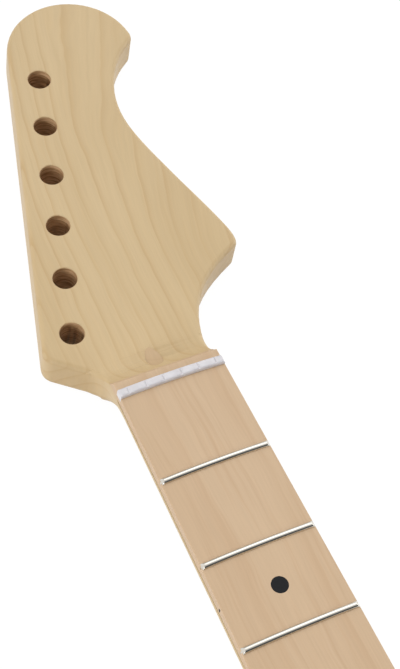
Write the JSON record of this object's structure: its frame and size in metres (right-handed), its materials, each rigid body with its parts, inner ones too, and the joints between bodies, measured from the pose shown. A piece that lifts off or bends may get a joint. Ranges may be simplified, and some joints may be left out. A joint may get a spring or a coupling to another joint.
{
  "type": "electric guitar neck",
  "caption": "Bolt-on electric guitar neck in maple with a maple fingerboard, frets, white nut, black dots and a hooked headstock with bare tuner holes in one row.",
  "frame": {"origin": "centre of the heel's four screw holes, on the flat back of the heel", "axes": "+Y along the neck from the heel to the headstock's tip, +Z out of the fingerboard, +X towards the treble side"},
  "size_m": [0.0957, 0.6678, 0.0271],
  "materials": {
    "maple": "satin clear lacquer over yellowish maple",
    "board_maple": "satin clear lacquer over pinker maple",
    "plug_maple": "satin, end of a maple dowel",
    "nut": "polished white",
    "fret_wire": "polished nickel silver",
    "dot": "polished black, flush with the wood",
    "rod_steel": "plain steel"
  },
  "bodies": {
    "neck": {"neck_blank": "maple", "fingerboard": "board_maple", "string_nut": "nut", "fret_01": "fret_wire", "fret_02": "fret_wire", "fret_03": "fret_wire", "fret_04": "fret_wire", "fret_05": "fret_wire", "fret_06": "fret_wire", "fret_07": "fret_wire", "fret_08": "fret_wire", "fret_09": "fret_wire", "fret_10": "fret_wire", "fret_11": "fret_wire", "fret_12": "fret_wire", "fret_13": "fret_wire", "fret_14": "fret_wire", "fret_15": "fret_wire", "fret_16": "fret_wire", "fret_17": "fret_wire", "fret_18": "fret_wire", "fret_19": "fret_wire", "fret_20": "fret_wire", "fret_21": "fret_wire", "fret_22": "fret_wire", "face_dot_03": "dot", "side_dot_03": "dot", "face_dot_05": "dot", "side_dot_05": "dot", "face_dot_07": "dot", "side_dot_07": "dot", "face_dot_09": "dot", "side_dot_09": "dot", "face_dot_12_a": "dot", "side_dot_12_a": "dot", "face_dot_12_b": "dot", "side_dot_12_b": "dot", "face_dot_15": "dot", "side_dot_15": "dot", "face_dot_17": "dot", "side_dot_17": "dot", "face_dot_19": "dot", "side_dot_19": "dot", "face_dot_21": "dot", "side_dot_21": "dot", "anchor_plug": "plug_maple", "truss_rod": "rod_steel", "truss_rod_anchor": "rod_steel", "truss_rod_fillet": "maple", "truss_rod_washer": "rod_steel"},
    "adjuster": {"adjusting_nut": "rod_steel"}
  },
  "joints": [
    {"name": "adjusting_nut_turn", "type": "hinge", "parent": "neck", "child": "adjuster", "pos_m": [0, -0.0335, 0.0134], "axis": [0, -1, 0], "range_deg": [-360, 360]}
  ]
}
